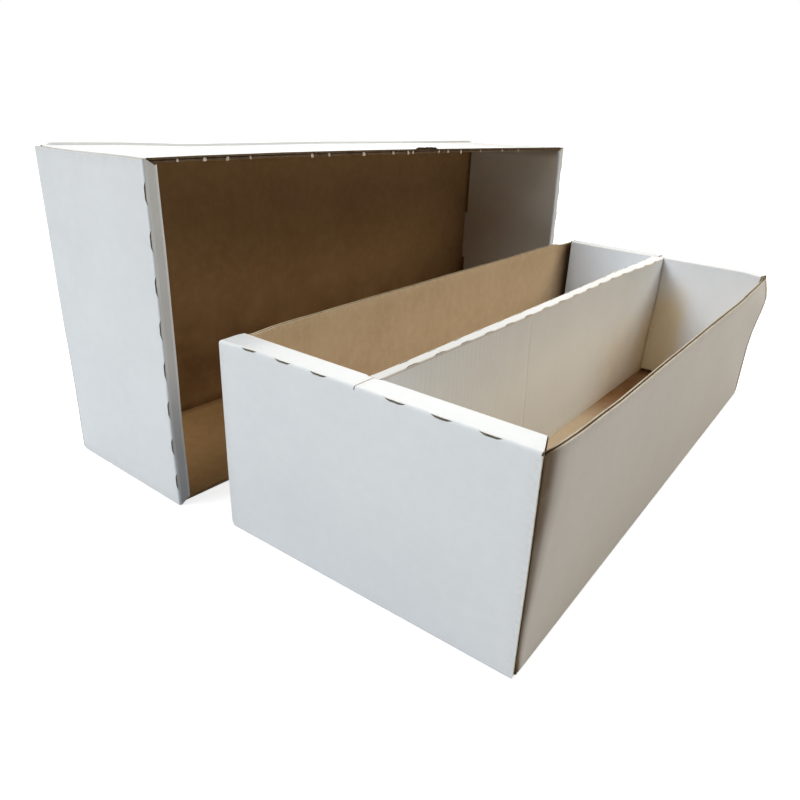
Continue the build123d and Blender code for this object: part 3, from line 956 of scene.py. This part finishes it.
def make_divider():
    """Ridge, the two leaves below it and their end flanges."""
    h, l = TRAY["h"], TRAY["l"]
    bottom = BOARD + SEAT
    under = h - BOARD - SEAT
    half_ridge = l / 2 - TRAY["rim"] - SWING
    flange_face = l / 2 - 2 * (BOARD + SEAT)
    half_leaf = flange_face - BOARD
    s = Sheet("divider_ridge_board", divider_place, "divider_board", RIDGE_BOARD)
    us, vs = spaced(-DIVIDER / 2, DIVIDER / 2, 1.5), spaced(-half_ridge, half_ridge, 5)
    # painted grey shade along the ridge, most towards its front end
    s.painted_shade = lambda x, y, z: -0.17 * smooth((-y - 10) / 110) - 0.07 * smooth((120 - y) / 60)
    board(s, flat((0, 0, h), X, Y, DOWN), us, vs, "u", folds=("u0", "u1"), radius=RIDGE_FOLD)
    for end in (-1, 1):
        # the face of the ridge reaches over to the rims
        top = lambda u, v, d, end=end: np.stack(
            [u, end * (half_ridge - 0.6 + 2.15 * v), h - d + 0.05 - 0.1 * v], axis=1)
        us = spaced(-DIVIDER / 2 + 0.3, DIVIDER / 2 - 0.3, 1.2)
        s.grid(us, np.linspace(0, 1, 4), top, 0.0, 0.25, None, (FACE, FACE, FACE))
    for side in (-1, 1):
        crease(s, (side * DIVIDER / 2, 0, h), Y, UP, (-side, 0, 0), -half_ridge, half_ridge,
               radius=RIDGE_FOLD, slits=slit_places(-half_ridge, half_ridge), mode=(0.05, 0.95),
               seed=51 + side)
    done(s, "tray", "divider_ridge")
    for side_name, side in (("left", -1), ("right", 1)):
        s = Sheet(f"divider_{side_name}_leaf_board", divider_place, "divider_board", DIVIDER_BOARD)
        us = spaced(-half_leaf, half_leaf, 6, [-half_ridge, half_ridge, *np.arange(-52, -35, 0.5)])
        vs = spaced(bottom, h, 6, [under])
        keep = lambda u, v: ~((v > under) & (np.abs(u) > half_ridge))
        # painted brown shade on the right leaf, low down and towards the back
        if side > 0:
            s.painted_shade = lambda x, y, z: (
                0.5 * smooth((y - 40) / 80) + 0.4 * smooth((y - 138) / 28)) * smooth((82 - z) / 55)
        board(s, flat((side * DIVIDER / 2, 0, 0), Y, UP, (-side, 0, 0)), us, vs, "v", keep,
              folds=("v1",), radius=RIDGE_FOLD, wear=edge_wear(us, vs, 2.5, ("v0",)))
        done(s, "tray", f"divider_{side_name}_leaf")
        for end_name, end in (("front", -1), ("back", 1)):
            title = f"divider_{end_name}_{side_name}_flange_board"
            s = Sheet(title, divider_place, "divider_board", DIVIDER_BOARD)
            u0 = DIVIDER / 2 - BOARD
            us, vs = spaced(u0, u0 + FLANGE, 5), spaced(bottom, under, 6)
            board(s, flat((0, end * flange_face, 0), (side, 0, 0), UP, (0, -end, 0)), us, vs, "v",
                  wear=edge_wear(us, vs, 2.5, ("u1", "v0", "v1")))
            done(s, "tray", f"divider_{end_name}_{side_name}_flange")


make_divider()


# Floor, light and camera

def seen_by_camera(tree):
    """1 for what the camera sees, also in mirrors and through glass, and 0 for light on other surfaces."""
    ray = node(tree, "ShaderNodeLightPath").outputs
    seen = number(tree, "ADD", ray["Is Camera Ray"], ray["Is Glossy Ray"])
    return number(tree, "ADD", seen, ray["Is Transmission Ray"], clamp=True)


def floor():
    """A large pale floor just below the box. It glows a little more away from the box."""
    mesh = bpy.data.meshes.new("floor")
    big, level = 12.0, -0.0004
    corners = [(x * big, y * big, level) for x, y in ((-1, -1), (1, -1), (1, 1), (-1, 1))]
    mesh.from_pydata(corners, [], [(0, 1, 2, 3)])
    mat = bpy.data.materials.new("floor_paper")
    tree = cleared(mat)
    spot = node(tree, "ShaderNodeTexCoord").outputs["Object"]
    away = node(tree, "ShaderNodeVectorMath", {0: spot}, operation="LENGTH").outputs["Value"]
    glow = node(tree, "ShaderNodeEmission", {"Strength": ranged(tree, away, 0.35, 1.2, 0.78, 1.0)}).outputs[0]
    plain = node(tree, "ShaderNodeBsdfDiffuse", {"Color": (0.43, 0.445, 0.46, 1)}).outputs[0]
    bright = node(tree, "ShaderNodeAddShader", {0: plain, 1: glow}).outputs[0]
    mix = node(tree, "ShaderNodeMixShader", {0: seen_by_camera(tree), 1: plain, 2: bright})
    node(tree, "ShaderNodeOutputMaterial", {0: mix.outputs[0]})
    mesh.materials.append(mat)
    linked("floor", mesh)


def world():
    """White where the camera sees it, and almost no light from it on the box."""
    w = bpy.data.worlds.new("studio")
    bpy.context.scene.world = w
    tree = cleared(w)
    back = node(tree, "ShaderNodeBackground", {"Color": (1, 1, 1, 1), "Strength": 1.0}).outputs[0]
    fill = node(tree, "ShaderNodeBackground", {"Color": (0.94, 0.97, 1.0, 1), "Strength": 0.02}).outputs[0]
    mix = node(tree, "ShaderNodeMixShader", {0: seen_by_camera(tree), 1: fill, 2: back})
    node(tree, "ShaderNodeOutputWorld", {0: mix.outputs[0]})


def lamp(name, place, size, power, colour=(1, 1, 1)):
    """A flat lamp that points at the box."""
    data = bpy.data.lights.new(name, "AREA")
    data.shape = "RECTANGLE"
    data.size, data.size_y = size
    data.energy = power
    data.color = colour
    obj = linked(name, data)
    obj.location = place
    obj.rotation_euler = (Vector(AIM) - Vector(place)).to_track_quat("-Z", "Y").to_euler()


def camera():
    """The camera of the photo."""
    yaw, pitch, roll = (math.radians(v) for v in (CAM_YAW, CAM_PITCH, CAM_ROLL))
    ahead = Vector((math.sin(yaw) * math.cos(pitch), math.cos(yaw) * math.cos(pitch), math.sin(pitch)))
    level = Vector((math.cos(yaw), -math.sin(yaw), 0))
    up = level.cross(ahead)
    rolled_right = level * math.cos(roll) + up * math.sin(roll)
    rolled_up = up * math.cos(roll) - level * math.sin(roll)
    data = bpy.data.cameras.new("camera")
    obj = linked("camera", data)
    turn = Matrix((rolled_right, rolled_up, -ahead)).transposed().to_4x4()
    obj.matrix_world = Matrix.Translation([v * MM for v in EYE]) @ turn
    data.sensor_width = 36.0
    data.lens = 36.0 * FOCAL / PICTURE
    data.shift_x = (PICTURE / 2 - CENTRE[0]) / PICTURE
    data.shift_y = (CENTRE[1] - PICTURE / 2) / PICTURE
    data.clip_start, data.clip_end = 0.01, 60
    bpy.context.scene.camera = obj


floor()
world()
lamp("key", (-1.1, -1.5, 1.7), (1.3, 1.0), 47, (0.94, 0.985, 1.0))
lamp("back_left", (-1.3, 1.6, 1.6), (1.2, 1.2), 39, (1.0, 0.985, 0.94))
lamp("back_right", (0.9, 1.6, 1.7), (1.2, 1.2), 30, (1.0, 0.95, 0.83))
lamp("front", (0.0, -2.1, 1.1), (1.3, 1.0), 5)
lamp("front_low", (-0.3, -2.3, 0.5), (1.2, 0.8), 5, (1.0, 0.96, 0.92))
lamp("right", (1.6, 0.7, 1.5), (1.2, 1.2), 10.5, (1.0, 0.90, 0.76))
camera()
bpy.context.scene.view_settings.view_transform = "Standard"
